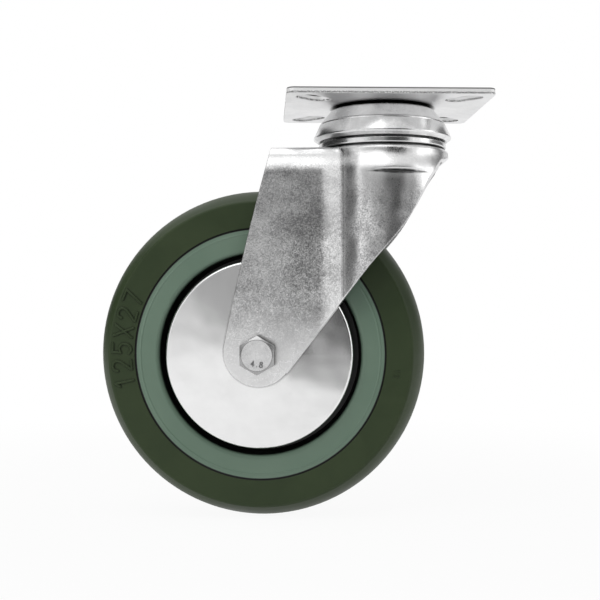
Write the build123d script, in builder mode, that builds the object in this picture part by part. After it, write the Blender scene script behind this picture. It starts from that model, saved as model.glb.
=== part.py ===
from build123d import *
from math import acos, asin, atan2, cos, degrees, hypot, radians, sin, tan
import os

# Swivel plate castor. Millimetres, origin in the middle of the plate's top face, +Z up.
# The wheel trails towards -X and its axle lies nearly along Y, with the near side at -Y.

# Fits
fixed_fit = 0.03
swivel_clearance = 0.1

# Top plate
plate_length = 77
plate_width = 67
plate_thickness = 2.5
plate_corner = 3
plate_edge_round = 0.6
slot_width = 8.5
slot_margin = 7.75
slot_travel = 7
slot_slant = 45

# Upper cup and its balls
upper_ball_diameter = 6.35
upper_ball_count = 14
upper_pitch_radius = 17
cup_wall = 1.8
cup_height = 13.5
cup_flare = 39
skirt_flare = 25
crease_depth = 6.4
rim_tuck_height = 1.3
rim_tuck_width = 1.9
rim_flat = 1
rim_round = 0.7

# Race ring on the fork head
cup_ring_gap = 0.6
ring_lip_width = 4
ring_lip_thickness = 2.3
ring_lip_round = 0.6
ring_foot_height = 0.6
ring_foot_width = 1.6
ring_shoulder_width = 4
ring_bore_radius = 9
ring_wall = 2
ring_shoulder_drop = 1.9

# Lower cup and its balls
lower_ball_diameter = 4.76
lower_ball_count = 14
lower_pitch_radius = 12.5
lower_track_depth = 0.7
lower_cup_wall = 2
lower_cup_gap = 0.6

# Kingpin
kingpin_radius = 7
kingpin_neck_radius = 6
kingpin_tail_radius = 5
kingpin_head_radius = 8.5
kingpin_rivet_radius = 8
kingpin_rivet_height = 3
kingpin_bore_gap = 1

# Fork
rest_swivel = -5.2
fork_gap = 36
sheet = 2.5
head_radius = 26
head_bend = 1.8
cheek_bend = 3
inner_bend = 0.8
seat_rise = 0.3
crease_radius = 4
axle_back = 47.4
axle_drop = 98.9
leg_end_radius = 13.35
leg_end_rise = 1.1
leg_end_turn = 169
rear_top_back = 42.4
rear_bow = 0.8
skirt_corner_front = 21.2
skirt_corner_drop = 23.2
skirt_corner_radius = 5
skirt_front_drop = 18.4
knee_front = 10.2
knee_drop = 47.4
knee_radius = 60
waist_back = 4.8
waist_drop = 64.7
waist_radius = 40
trim_draft = 10
trim_middle = 20
pinch_drop = 29.3
pinch_depth = 0.5
pinch_tool_radius = 1.2
pinch_ring_radius = 34
pinch_turn = 14
pinch_arc = 50

# Axle bolt, nut and washer
bolt_diameter = 8
bolt_clearance = 0.1
hex_across_flats = 13
hex_turn = 30
hex_corner_radius = 7.5
hex_face_radius = 5.9
hex_chamfer_depth = 0.9
bolt_head_height = 5.3
bolt_end_length = 2.5
bolt_end_chamfer = 1
nut_height = 6.5
nut_collar_height = 1.6
nut_collar_radius = 5.6
washer_diameter = 16
washer_thickness = 1.6

# Wheel
wheel_diameter = 128
wheel_width = 27
sidewall_radius = 59
shoulder_radius = 1.2
joint_radius = 48.5
joint_groove = 0.5
core_inset = 0.3
core_inner_radius = 39.1
core_lip_round = 2
core_draft = 1
web_thickness = 6
hub_radius = 19.5
hub_half_length = 15.5
hub_shoulder_radius = 12

# Thread guards
guard_thickness = 1
guard_radius = 36.1
guard_flat_radius = 12
guard_dish = 1.1
guard_bulge = 0.4
guard_rim_height = 2
guard_rim_round = 0.9

# Wheel bearings
bearing_width = 8
bearing_bore_radius = 6
bearing_outer_radius = 14
bearing_ball_diameter = 4.76
bearing_ball_count = 8
bearing_pitch_radius = 10
bearing_clearance = 0.05
bearing_land = 1.4
bearing_recess = 1
spacer_wall = 2
cage_wall = 1.2
cage_half_height = 3.1
cage_clearance = 0.1

# Heights in the swivel head, worked down from the plate's top face
cup_top = -plate_thickness
upper_track_radius = upper_ball_diameter / 2 + swivel_clearance
upper_ball_z = cup_top - cup_wall - upper_track_radius
cup_bottom = cup_top - cup_height
ring_top = upper_ball_z - ring_shoulder_drop
lip_top = cup_bottom - cup_ring_gap
lip_bottom = lip_top - ring_lip_thickness
head_top = lip_bottom - ring_foot_height
roof_top = head_top - seat_rise
head_under = head_top - sheet
lower_track_radius = lower_ball_diameter / 2 + swivel_clearance
lower_ball_z = head_under + lower_track_depth - lower_track_radius
lower_cup_floor = lower_ball_z - lower_track_radius
lower_cup_under = lower_cup_floor - lower_cup_wall

# Widths across the fork and the wheel
cheek_inside = fork_gap / 2
cheek_outside = cheek_inside + sheet
guard_inside = cheek_inside - guard_thickness
tyre_face = wheel_width / 2
core_face = tyre_face - core_inset
bearing_face = hub_half_length - bearing_recess
bearing_middle = bearing_face - bearing_width / 2
bearing_back = bearing_face - bearing_width
bearing_track_radius = bearing_ball_diameter / 2 + bearing_clearance
bolt_radius = bolt_diameter / 2
bolt_hole_radius = bolt_radius + bolt_clearance
sleeve_radius = bearing_bore_radius - fixed_fit
spacer_radius = bearing_bore_radius + spacer_wall

# Planes that turn with the fork: seen from above, from the near side, and the wheel's section
fork_plane = Plane.XY.rotated((0, 0, rest_swivel))
side_plane = Plane(origin=(0, 0, 0), x_dir=fork_plane.x_dir, z_dir=-fork_plane.y_dir)
axle_point = side_plane.from_local_coords(Vector(-axle_back, -axle_drop, 0))
hole_plane = Plane(origin=axle_point, x_dir=side_plane.x_dir, z_dir=side_plane.z_dir)
wheel_plane = Plane(origin=axle_point, x_dir=fork_plane.x_dir, z_dir=fork_plane.z_dir)
axle = Axis(axle_point, fork_plane.y_dir)
sides = {"near": -1, "far": 1}
near_angle = -90

os.makedirs("parts", exist_ok=True)


def on_circle(centre, radius, angle):
    # Point of a circle at an angle in degrees
    x = centre[0] + radius * cos(radians(angle))
    y = centre[1] + radius * sin(radians(angle))
    return (x, y)


def flare_radius(distance, z):
    # Radius at a height of the flared cone that lies at a distance from the ball centres
    slope = radians(cup_flare)
    return upper_pitch_radius + distance / cos(slope) + (upper_ball_z - z) * tan(slope)


def skirt_point(start, z):
    # Point at a height on the steeper skirt line that begins at a crease point
    return (start[0] + (start[1] - z) * tan(radians(skirt_flare)), z)


# Top plate: rounded corners, four slanted slots and a countersink for the kingpin's head
slot_x = plate_length / 2 - slot_margin - slot_travel * cos(radians(slot_slant)) / 2
slot_y = plate_width / 2 - slot_margin - slot_travel * sin(radians(slot_slant)) / 2

with BuildPart() as top_plate:
    with BuildSketch(Plane.XY.offset(cup_top)):
        RectangleRounded(plate_length, plate_width, plate_corner)
    extrude(amount=plate_thickness)
    fillet(top_plate.faces().sort_by(Axis.Z)[-1].edges(), plate_edge_round)
    with BuildSketch(Plane.XY):
        for x in (-slot_x, slot_x):
            for y in (-slot_y, slot_y):
                slant = slot_slant if x * y > 0 else -slot_slant
                with Locations((x, y)):
                    SlotCenterToCenter(slot_travel, slot_width, rotation=slant)
    extrude(amount=-plate_thickness, mode=Mode.SUBTRACT)
    with BuildSketch(Plane.XZ):
        Polygon(
            (0, 0),
            (kingpin_head_radius + fixed_fit, 0),
            (kingpin_neck_radius + fixed_fit, cup_top),
            (0, cup_top),
            align=None,
        )
    revolve(axis=Axis.Z, mode=Mode.SUBTRACT)
top_plate.part.label = "top_plate"
export_step(top_plate.part, "parts/top_plate.step")

# Upper cup: one wall round the ball track, a flare down to a crease, a skirt and a tucked rim
track_centre = (upper_pitch_radius, upper_ball_z)
shoulder_distance = upper_track_radius + cup_wall
crease_z = cup_top - crease_depth
crease_point = (flare_radius(shoulder_distance, crease_z), crease_z)
rim_point = skirt_point(crease_point, cup_bottom + rim_tuck_height)
tuck_point = (rim_point[0] - rim_tuck_width, cup_bottom)
rim_inner_radius = tuck_point[0] - rim_flat
crease_half_turn = (cup_flare - skirt_flare) / 2
crease_wall = cup_wall / cos(radians(crease_half_turn))
inner_crease_point = on_circle(crease_point, crease_wall, 180 + skirt_flare + crease_half_turn)
rim_inner_rise = (rim_inner_radius - inner_crease_point[0]) / tan(radians(skirt_flare))

with BuildPart() as upper_cup:
    with BuildSketch(Plane.XZ):
        with BuildLine():
            Line((kingpin_neck_radius + fixed_fit, cup_top), (upper_pitch_radius, cup_top))
            CenterArc(track_centre, shoulder_distance, 90, cup_flare - 90)
            Polyline(
                on_circle(track_centre, shoulder_distance, cup_flare),
                crease_point,
                rim_point,
                tuck_point,
                (rim_inner_radius, cup_bottom),
                (rim_inner_radius, inner_crease_point[1] - rim_inner_rise),
                inner_crease_point,
                on_circle(track_centre, upper_track_radius, cup_flare),
            )
            CenterArc(track_centre, upper_track_radius, cup_flare, 90 - cup_flare)
            Polyline(
                (upper_pitch_radius, cup_top - cup_wall),
                (kingpin_neck_radius + fixed_fit, cup_top - cup_wall),
                (kingpin_neck_radius + fixed_fit, cup_top),
            )
        make_face()
        fillet(vertices().sort_by(Axis.X)[-1], rim_round)
    revolve(axis=Axis.Z)
upper_cup.part.label = "upper_cup"
export_step(upper_cup.part, "parts/upper_cup.step")

# Balls between the upper cup and the race ring
with BuildPart() as upper_balls:
    with Locations((0, 0, upper_ball_z)):
        with PolarLocations(upper_pitch_radius, upper_ball_count):
            Sphere(upper_ball_diameter / 2)
upper_balls.part.label = "upper_balls"
export_step(upper_balls.part, "parts/upper_balls.step")

# Race ring: hollow underneath, ball groove on top and a round lip that shows below the cup
ring_body_radius = upper_pitch_radius + ring_shoulder_width
ring_lip_radius = ring_body_radius + ring_lip_width
groove_angle = degrees(asin(ring_shoulder_drop / upper_track_radius))
groove_half_width = upper_track_radius * cos(radians(groove_angle))
foot_radius = ring_body_radius + ring_foot_width
hollow_top = upper_ball_z - upper_track_radius - ring_wall

with BuildPart() as race_ring:
    with BuildSketch(Plane.XZ):
        with BuildLine():
            CenterArc(
                track_centre, upper_track_radius, 180 + groove_angle, 180 - 2 * groove_angle
            )
            Polyline(
                (upper_pitch_radius + groove_half_width, ring_top),
                (ring_body_radius, ring_top),
                (ring_body_radius, lip_top),
                (ring_lip_radius, lip_top),
                (ring_lip_radius, lip_bottom),
                (foot_radius, lip_bottom),
                (foot_radius, head_top),
                (ring_body_radius - ring_wall, head_top),
                (ring_body_radius - ring_wall, hollow_top),
                (ring_bore_radius + ring_wall, hollow_top),
                (ring_bore_radius + ring_wall, head_top),
                (ring_bore_radius, head_top),
                (ring_bore_radius, ring_top),
                (upper_pitch_radius - groove_half_width, ring_top),
            )
        make_face()
        fillet(vertices().sort_by(Axis.X)[-2:], ring_lip_round)
    revolve(axis=Axis.Z)
race_ring.part.label = "race_ring"
export_step(race_ring.part, "parts/race_ring.step")

# Lower cup: a dish that carries the lower balls against the fork head
lower_centre = (lower_pitch_radius, lower_ball_z)
lower_cup_edge = head_under - lower_cup_gap

with BuildPart() as lower_cup:
    with BuildSketch(Plane.XZ):
        with BuildLine():
            Line(
                (kingpin_tail_radius + fixed_fit, lower_cup_floor),
                (lower_pitch_radius, lower_cup_floor),
            )
            CenterArc(lower_centre, lower_track_radius, -90, 90)
            Polyline(
                (lower_pitch_radius + lower_track_radius, lower_ball_z),
                (lower_pitch_radius + lower_track_radius, lower_cup_edge),
                (lower_pitch_radius + lower_track_radius + lower_cup_wall, lower_cup_edge),
                (lower_pitch_radius + lower_track_radius + lower_cup_wall, lower_ball_z),
            )
            CenterArc(lower_centre, lower_track_radius + lower_cup_wall, 0, -90)
            Polyline(
                (lower_pitch_radius, lower_cup_under),
                (kingpin_tail_radius + fixed_fit, lower_cup_under),
                (kingpin_tail_radius + fixed_fit, lower_cup_floor),
            )
        make_face()
    revolve(axis=Axis.Z)
lower_cup.part.label = "lower_cup"
export_step(lower_cup.part, "parts/lower_cup.step")

# Balls between the fork head and the lower cup
with BuildPart() as lower_balls:
    with Locations((0, 0, lower_ball_z)):
        with PolarLocations(lower_pitch_radius, lower_ball_count):
            Sphere(lower_ball_diameter / 2)
lower_balls.part.label = "lower_balls"
export_step(lower_balls.part, "parts/lower_balls.step")

# Kingpin: flush countersunk head, two shoulders and a riveted dome at the foot
with BuildPart() as kingpin:
    with BuildSketch(Plane.XZ):
        with BuildLine():
            Polyline(
                (0, 0),
                (kingpin_head_radius, 0),
                (kingpin_neck_radius, cup_top),
                (kingpin_neck_radius, cup_top - cup_wall),
                (kingpin_radius, cup_top - cup_wall),
                (kingpin_radius, lower_cup_floor),
                (kingpin_tail_radius, lower_cup_floor),
                (kingpin_tail_radius, lower_cup_under),
                (kingpin_rivet_radius, lower_cup_under),
            )
            RadiusArc(
                (kingpin_rivet_radius, lower_cup_under),
                (0, lower_cup_under - kingpin_rivet_height),
                (kingpin_rivet_radius ** 2 + kingpin_rivet_height ** 2) / (2 * kingpin_rivet_height),
            )
            Line((0, lower_cup_under - kingpin_rivet_height), (0, 0))
        make_face()
    revolve(axis=Axis.Z)
kingpin.part.label = "kingpin"
export_step(kingpin.part, "parts/kingpin.step")


def draw_plan(inset):
    # Plan of the pressing: flat cheeks that run through concave creases into the round head
    with Locations((-wall_length / 2, 0)):
        Rectangle(wall_length, 2 * (cheek_outside - inset))
    Circle(head_radius - inset)
    fillet(vertices().sort_by(Axis.X)[2:4], crease_radius + inset)


def draw_seat(inset, bend):
    # Section of the round raised seat with its bend into the drum wall
    top = head_top - inset
    radius = head_radius - inset
    Polygon((0, top - seat_height), (radius, top - seat_height), (radius, top), (0, top), align=None)
    fillet(vertices().sort_by(Axis.X)[-2:].sort_by(Axis.Y)[-1], bend)


# Outline of the fork from the side, from the leg's round end up to the skirt and back
wall_length = axle_back + 2 * leg_end_radius
wall_depth = axle_drop + 2 * leg_end_radius
seat_height = seat_rise + 2 * cheek_bend
leg_centre = (-axle_back, leg_end_rise - axle_drop)
waist_point = (-waist_back, -waist_drop)
waist_reach = hypot(waist_point[0] - leg_centre[0], waist_point[1] - leg_centre[1])
waist_angle = degrees(atan2(waist_point[1] - leg_centre[1], waist_point[0] - leg_centre[0]))
tangent_angle = waist_angle - degrees(acos(leg_end_radius / waist_reach))
outline_front = head_radius + sheet

# Pinches that the drawing leaves on both sides of the drum below the head
pinch_reach = head_radius + pinch_tool_radius - pinch_depth
pinch_angle = near_angle + pinch_turn
pinch_centre = on_circle((0, 0), pinch_reach - pinch_ring_radius, pinch_angle)
pinch_x, pinch_y = on_circle((0, 0), 1, pinch_angle - pinch_arc / 2)
pinch_point = fork_plane.from_local_coords(Vector(pinch_centre[0], pinch_centre[1], 0))
pinch_start = fork_plane.from_local_coords(Vector(pinch_x, pinch_y, 0))
pinch_plane = Plane(
    origin=pinch_point, x_dir=pinch_start, z_dir=pinch_start.cross(Vector(0, 0, 1))
)

with BuildPart() as pinches:
    with BuildSketch(pinch_plane):
        with Locations((pinch_ring_radius, -pinch_drop)):
            Circle(pinch_tool_radius)
    revolve(axis=Axis(pinch_point, (0, 0, 1)), revolution_arc=pinch_arc)
    mirror(about=side_plane)

# Inside of the pressing, taken out of the fork below
with BuildPart() as fork_hollow:
    with BuildSketch(fork_plane.offset(roof_top - sheet)):
        draw_plan(sheet)
    extrude(amount=-wall_depth)
    fillet(fork_hollow.faces().sort_by(Axis.Z)[-1].edges(), inner_bend)
    with BuildSketch(Plane.XZ):
        draw_seat(sheet, inner_bend)
    revolve(axis=Axis.Z)

# Trimming form: the side outline, square at the back and slanting between the cheeks in front
with BuildPart() as trim:
    with BuildSketch(side_plane.offset(cheek_outside)) as trim_outline:
        with BuildLine():
            leg_end = CenterArc(
                leg_centre, leg_end_radius, leg_end_turn, 360 + tangent_angle - leg_end_turn
            )
            FilletPolyline(
                leg_end @ 1,
                waist_point,
                (knee_front, -knee_drop),
                (skirt_corner_front, -skirt_corner_drop),
                (outline_front, -skirt_front_drop),
                radius=(waist_radius, knee_radius, skirt_corner_radius),
            )
            Polyline(
                (outline_front, -skirt_front_drop),
                (outline_front, 0),
                (-rear_top_back, 0),
                (-rear_top_back, roof_top),
            )
            rear_edge = SagittaArc((-rear_top_back, roof_top), leg_end @ 0, -rear_bow)
        make_face()
    extrude(amount=outline_front - cheek_outside)
    extrude(trim_outline.sketch, amount=trim_middle / 2 - cheek_outside, taper=-trim_draft)
    extrude(trim.faces().sort_by(axle)[-1], amount=trim_middle / 2)
    mirror(about=side_plane)
    with BuildSketch(side_plane):
        with BuildLine():
            add(leg_end)
            add(rear_edge)
            Polyline(
                leg_end @ 1,
                (outline_front, (leg_end @ 1).Y),
                (outline_front, 0),
                (-rear_top_back, 0),
                (-rear_top_back, roof_top),
            )
        make_face()
    extrude(amount=outline_front, both=True, mode=Mode.INTERSECT)

# Fork: pressed from one sheet, trimmed to its side outline, then pierced
with BuildPart() as fork:
    with BuildSketch(fork_plane.offset(roof_top)):
        draw_plan(0)
    extrude(amount=-wall_depth)
    fillet(fork.faces().sort_by(Axis.Z)[-1].edges(), cheek_bend)
    with BuildSketch(Plane.XZ):
        draw_seat(0, head_bend)
    revolve(axis=Axis.Z)
    add(fork_hollow.part, mode=Mode.SUBTRACT)
    add(pinches.part, mode=Mode.SUBTRACT)
    add(trim.part, mode=Mode.INTERSECT)
    with BuildSketch(Plane.XY.offset(head_top)):
        Circle(kingpin_radius + kingpin_bore_gap)
    extrude(amount=-sheet, mode=Mode.SUBTRACT)
    with BuildSketch(Plane.XZ):
        with Locations(lower_centre):
            Circle(lower_track_radius)
    revolve(axis=Axis.Z, mode=Mode.SUBTRACT)
    with BuildSketch(hole_plane):
        Circle(bolt_hole_radius)
    extrude(amount=cheek_outside, both=True, mode=Mode.SUBTRACT)
fork.part.label = "fork"
export_step(fork.part, "parts/fork.step")


def draw_hex_form(seat, face):
    # Section that rounds the corners of a hexagon towards its outer face
    inward = hex_chamfer_depth if seat > face else -hex_chamfer_depth
    Polygon(
        (0, seat),
        (hex_corner_radius, seat),
        (hex_corner_radius, face + inward),
        (hex_face_radius, face),
        (0, face),
        align=None,
    )


# Axle bolt: head on the near cheek, shank through both cheeks, the washer and the nut
bolt_face = -cheek_outside - bolt_head_height
nut_seat = cheek_outside + washer_thickness
nut_face = nut_seat + nut_height
bolt_end = nut_face + nut_collar_height + bolt_end_length

with BuildPart() as axle_bolt:
    with BuildSketch(hole_plane.offset(cheek_outside)):
        RegularPolygon(hex_across_flats / 2, 6, major_radius=False, rotation=hex_turn)
    extrude(amount=bolt_head_height)
    with BuildSketch(wheel_plane):
        draw_hex_form(-cheek_outside, bolt_face)
    revolve(axis=axle, mode=Mode.INTERSECT)
    with BuildSketch(hole_plane.offset(cheek_outside)):
        Circle(bolt_radius)
    extrude(amount=-cheek_outside - bolt_end)
    chamfer(axle_bolt.faces().sort_by(axle)[-1].edges(), bolt_end_chamfer)
axle_bolt.part.label = "axle_bolt"
export_step(axle_bolt.part, "parts/axle_bolt.step")

# Nut with a collar for its locking ring
with BuildPart() as axle_nut:
    with BuildSketch(hole_plane.offset(-nut_seat)):
        RegularPolygon(hex_across_flats / 2, 6, major_radius=False, rotation=hex_turn)
    extrude(amount=-nut_height)
    with BuildSketch(wheel_plane):
        draw_hex_form(nut_seat, nut_face)
    revolve(axis=axle, mode=Mode.INTERSECT)
    with BuildSketch(hole_plane.offset(-nut_face)):
        Circle(nut_collar_radius)
    extrude(amount=-nut_collar_height)
    with BuildSketch(hole_plane.offset(-nut_seat)):
        Circle(bolt_radius + fixed_fit)
    extrude(amount=-nut_height - nut_collar_height, mode=Mode.SUBTRACT)
axle_nut.part.label = "axle_nut"
export_step(axle_nut.part, "parts/axle_nut.step")


def draw_tube(inner_radius, outer_radius, start, end):
    # Section of a plain tube or ring round the axle
    Polygon(
        (inner_radius, start), (outer_radius, start), (outer_radius, end), (inner_radius, end),
        align=None,
    )


with BuildPart() as axle_washer:
    with BuildSketch(wheel_plane):
        draw_tube(bolt_hole_radius, washer_diameter / 2, cheek_outside, nut_seat)
    revolve(axis=axle)
axle_washer.part.label = "axle_washer"
export_step(axle_washer.part, "parts/axle_washer.step")

# Sleeve over the bolt, clamped between the two thread guards
with BuildPart() as axle_sleeve:
    with BuildSketch(wheel_plane):
        draw_tube(bolt_hole_radius, sleeve_radius, -guard_inside, guard_inside)
    revolve(axis=axle)
axle_sleeve.part.label = "axle_sleeve"
export_step(axle_sleeve.part, "parts/axle_sleeve.step")

with BuildPart() as bearing_spacer:
    with BuildSketch(wheel_plane):
        draw_tube(bearing_bore_radius, spacer_radius, -bearing_back, bearing_back)
    revolve(axis=axle)
bearing_spacer.part.label = "bearing_spacer"
export_step(bearing_spacer.part, "parts/bearing_spacer.step")

# Tyre: crowned tread, flat sidewalls and a fine groove where it meets the wheel centre
with BuildPart() as tyre:
    with BuildSketch(wheel_plane):
        with BuildLine():
            Polyline(
                (sidewall_radius, -tyre_face),
                (joint_radius, -tyre_face),
                (joint_radius, tyre_face),
                (sidewall_radius, tyre_face),
            )
            ThreePointArc(
                (sidewall_radius, tyre_face),
                (wheel_diameter / 2, 0),
                (sidewall_radius, -tyre_face),
            )
        make_face()
        fillet(vertices().sort_by(Axis.X)[-2:], shoulder_radius)
        chamfer(vertices().sort_by(Axis.X)[:2], joint_groove)
    revolve(axis=axle)
tyre.part.label = "tyre"
export_step(tyre.part, "parts/tyre.step")

# Wheel centre: rim, web and hub turned from one section
core_outer_radius = joint_radius - fixed_fit
web_half = web_thickness / 2

with BuildPart() as wheel_centre:
    with BuildSketch(wheel_plane):
        with BuildLine():
            Polyline(
                (core_outer_radius, 0),
                (core_outer_radius, core_face),
                (core_inner_radius, core_face),
                (core_inner_radius - core_draft, web_half),
                (hub_radius + core_draft, web_half),
                (hub_radius, hub_half_length),
                (bearing_outer_radius, hub_half_length),
                (bearing_outer_radius, bearing_back),
                (hub_shoulder_radius, bearing_back),
                (hub_shoulder_radius, 0),
                (core_outer_radius, 0),
            )
        make_face()
        rim_edge = vertices().sort_by(lambda v: hypot(v.X - core_inner_radius, v.Y - core_face))[0]
        fillet(rim_edge, core_lip_round)
        mirror(about=Plane.XZ)
    revolve(axis=axle)
wheel_centre.part.label = "wheel_centre"
export_step(wheel_centre.part, "parts/wheel_centre.step")

# Pieces that come in pairs, one on each side of the wheel
inner_land_radius = bearing_pitch_radius - bearing_land
outer_land_radius = bearing_pitch_radius + bearing_land

for side_name, side in sides.items():
    ball_centre = (bearing_pitch_radius, side * bearing_middle)

    # Thread guard: pressed disc, flat where it is clamped, dished towards a turned rim
    guard_face = side * cheek_inside
    guard_edge = side * (cheek_inside - guard_dish)
    with BuildPart() as guard:
        with BuildSketch(wheel_plane):
            with BuildLine():
                Line((bolt_hole_radius, guard_face), (guard_flat_radius, guard_face))
                SagittaArc(
                    (guard_flat_radius, guard_face), (guard_radius, guard_edge), -side * guard_bulge
                )
                Polyline(
                    (guard_radius, guard_edge),
                    (guard_radius, guard_edge - side * guard_rim_height),
                    (guard_radius - guard_thickness, guard_edge - side * guard_rim_height),
                    (guard_radius - guard_thickness, guard_edge - side * guard_thickness),
                )
                SagittaArc(
                    (guard_radius - guard_thickness, guard_edge - side * guard_thickness),
                    (guard_flat_radius, guard_face - side * guard_thickness),
                    side * guard_bulge,
                )
                Polyline(
                    (guard_flat_radius, guard_face - side * guard_thickness),
                    (bolt_hole_radius, guard_face - side * guard_thickness),
                    (bolt_hole_radius, guard_face),
                )
            make_face()
            rim_corner = vertices().sort_by(lambda v: hypot(v.X - guard_radius, v.Y - guard_edge))[0]
            fillet(rim_corner, guard_rim_round)
        revolve(axis=axle)
    guard.part.label = f"guard_{side_name}"
    export_step(guard.part, f"parts/guard_{side_name}.step")

    # Collar between the thread guard and the bearing's inner ring
    with BuildPart() as side_spacer:
        with BuildSketch(wheel_plane):
            draw_tube(bearing_bore_radius, spacer_radius, side * bearing_face, side * guard_inside)
        revolve(axis=axle)
    side_spacer.part.label = f"side_spacer_{side_name}"
    export_step(side_spacer.part, f"parts/side_spacer_{side_name}.step")

    # Inner ring with its ball groove
    with BuildPart() as inner_ring:
        with BuildSketch(wheel_plane):
            draw_tube(bearing_bore_radius, inner_land_radius, side * bearing_back, side * bearing_face)
            with Locations(ball_centre):
                Circle(bearing_track_radius, mode=Mode.SUBTRACT)
        revolve(axis=axle)
    inner_ring.part.label = f"inner_ring_{side_name}"
    export_step(inner_ring.part, f"parts/inner_ring_{side_name}.step")

    # Outer ring, pressed into the hub
    with BuildPart() as outer_ring:
        with BuildSketch(wheel_plane):
            draw_tube(
                outer_land_radius,
                bearing_outer_radius - fixed_fit,
                side * bearing_back,
                side * bearing_face,
            )
            with Locations(ball_centre):
                Circle(bearing_track_radius, mode=Mode.SUBTRACT)
        revolve(axis=axle)
    outer_ring.part.label = f"outer_ring_{side_name}"
    export_step(outer_ring.part, f"parts/outer_ring_{side_name}.step")

    # Bearing balls, and the cage whose pockets keep them apart
    row_plane = hole_plane.offset(-side * bearing_middle)
    with BuildPart(row_plane) as bearing_balls:
        with PolarLocations(bearing_pitch_radius, bearing_ball_count):
            Sphere(bearing_ball_diameter / 2)
    bearing_balls.part.label = f"bearing_balls_{side_name}"
    export_step(bearing_balls.part, f"parts/bearing_balls_{side_name}.step")

    with BuildPart(row_plane) as cage:
        with BuildSketch(row_plane):
            Circle(bearing_pitch_radius + cage_wall / 2)
            Circle(bearing_pitch_radius - cage_wall / 2, mode=Mode.SUBTRACT)
        extrude(amount=cage_half_height, both=True)
        with PolarLocations(bearing_pitch_radius, bearing_ball_count):
            Cylinder(
                bearing_ball_diameter / 2 + cage_clearance,
                2 * cage_wall,
                rotation=(0, 90, 0),
                mode=Mode.SUBTRACT,
            )
    cage.part.label = f"cage_{side_name}"
    export_step(cage.part, f"parts/cage_{side_name}.step")
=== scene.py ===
import bpy
import math
import numpy as np
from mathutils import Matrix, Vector


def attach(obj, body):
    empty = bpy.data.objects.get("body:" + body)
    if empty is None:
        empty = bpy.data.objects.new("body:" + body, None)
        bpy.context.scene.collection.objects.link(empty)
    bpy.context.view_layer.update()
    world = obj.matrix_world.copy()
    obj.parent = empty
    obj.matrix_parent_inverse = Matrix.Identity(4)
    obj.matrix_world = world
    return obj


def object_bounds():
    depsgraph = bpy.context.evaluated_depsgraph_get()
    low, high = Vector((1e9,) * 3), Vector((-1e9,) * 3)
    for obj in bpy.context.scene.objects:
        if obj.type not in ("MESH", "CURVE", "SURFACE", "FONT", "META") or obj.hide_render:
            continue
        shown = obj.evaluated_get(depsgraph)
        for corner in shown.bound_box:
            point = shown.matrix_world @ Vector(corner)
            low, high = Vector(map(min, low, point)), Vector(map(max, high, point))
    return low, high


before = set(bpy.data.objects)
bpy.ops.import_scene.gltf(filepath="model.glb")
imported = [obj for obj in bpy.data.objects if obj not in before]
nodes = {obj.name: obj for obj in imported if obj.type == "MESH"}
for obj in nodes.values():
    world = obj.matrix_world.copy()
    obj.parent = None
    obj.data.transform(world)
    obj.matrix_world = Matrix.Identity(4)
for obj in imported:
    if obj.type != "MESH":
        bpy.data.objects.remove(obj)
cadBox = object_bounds()
print("frame loaded:", len(nodes), "pieces")

mm = 0.001  # one millimetre in metres

# Directions and places that the pieces share. Sizes in the dictionaries below are in millimetres,
# apart from those of the lamps, the cards, the floor and the camera, which are in metres
restTurn = math.radians(-5.2)  # how far the fork stands turned on the plate
forkX = np.array((math.cos(restTurn), math.sin(restTurn), 0.0))
forkY = np.array((-math.sin(restTurn), math.cos(restTurn), 0.0))
upZ = np.array((0.0, 0.0, 1.0))
axle = dict(back=47.4, down=98.9)
axlePoint = -axle["back"] * mm * forkX - axle["down"] * mm * upZ
nearSide = -1  # the side of the bolt's head, against forkY

# How the noises are made up: octaves, their share and how far they are warped
lumps = dict(
    cloud=dict(detail=3.0, rough=0.55, warp=0.3),
    blotch=dict(detail=4.0, rough=0.7, warp=0.6),
    grain=dict(detail=2.0, rough=0.6, warp=0.0),
    speck=dict(detail=2.0, rough=0.7, warp=0.0),
    wave=dict(detail=1.0, rough=0.4, warp=0.0),
    tint=dict(detail=3.0, rough=0.5, warp=0.4),
    mould=dict(detail=3.0, rough=0.6, warp=0.0),
)
cornerRays = 8
edgeRays = 6


def newTree(name, kind="ShaderNodeBsdfPrincipled"):
    # an empty material with its output and one shader
    mat = bpy.data.materials.new(name)
    mat.use_nodes = True
    tree = mat.node_tree
    tree.nodes.clear()
    out = tree.nodes.new("ShaderNodeOutputMaterial")
    shader = tree.nodes.new(kind)
    tree.links.new(shader.outputs[0], out.inputs["Surface"])
    return mat, tree, shader


def plug(tree, value, socket):
    # a link if value is a socket, otherwise the number or colour itself
    if isinstance(value, bpy.types.NodeSocket):
        tree.links.new(value, socket)
    else:
        socket.default_value = value


def mathNode(tree, operation, *values, clamp=False):
    # operation of the values, held between 0 and 1 if clamp is set
    node = tree.nodes.new("ShaderNodeMath")
    node.operation = operation
    node.use_clamp = clamp
    for i, value in enumerate(values):
        plug(tree, value, node.inputs[i])
    return node.outputs[0]


def vectorMath(tree, operation, a, b):
    # operation of two vectors, as a vector or as a number for a dot product
    node = tree.nodes.new("ShaderNodeVectorMath")
    node.operation = operation
    plug(tree, a, node.inputs[0])
    plug(tree, b, node.inputs[1])
    return node.outputs["Value" if operation == "DOT_PRODUCT" else "Vector"]


def objectPoint(tree):
    # point on the piece, which is the point in the castor's own frame
    return tree.nodes.new("ShaderNodeTexCoord").outputs["Object"]


def faceNormal(tree):
    # direction that the surface faces, before any bump
    return tree.nodes.new("ShaderNodeNewGeometry").outputs["True Normal"]


def along(tree, point, direction):
    # distance of the point along a direction, in millimetres
    reach = vectorMath(tree, "DOT_PRODUCT", point, tuple(direction))
    return mathNode(tree, "MULTIPLY", reach, 1 / mm)


def awayFrom(tree, value, middle):
    # size of the difference between value and middle
    return mathNode(tree, "ABSOLUTE", mathNode(tree, "SUBTRACT", value, middle))


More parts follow.
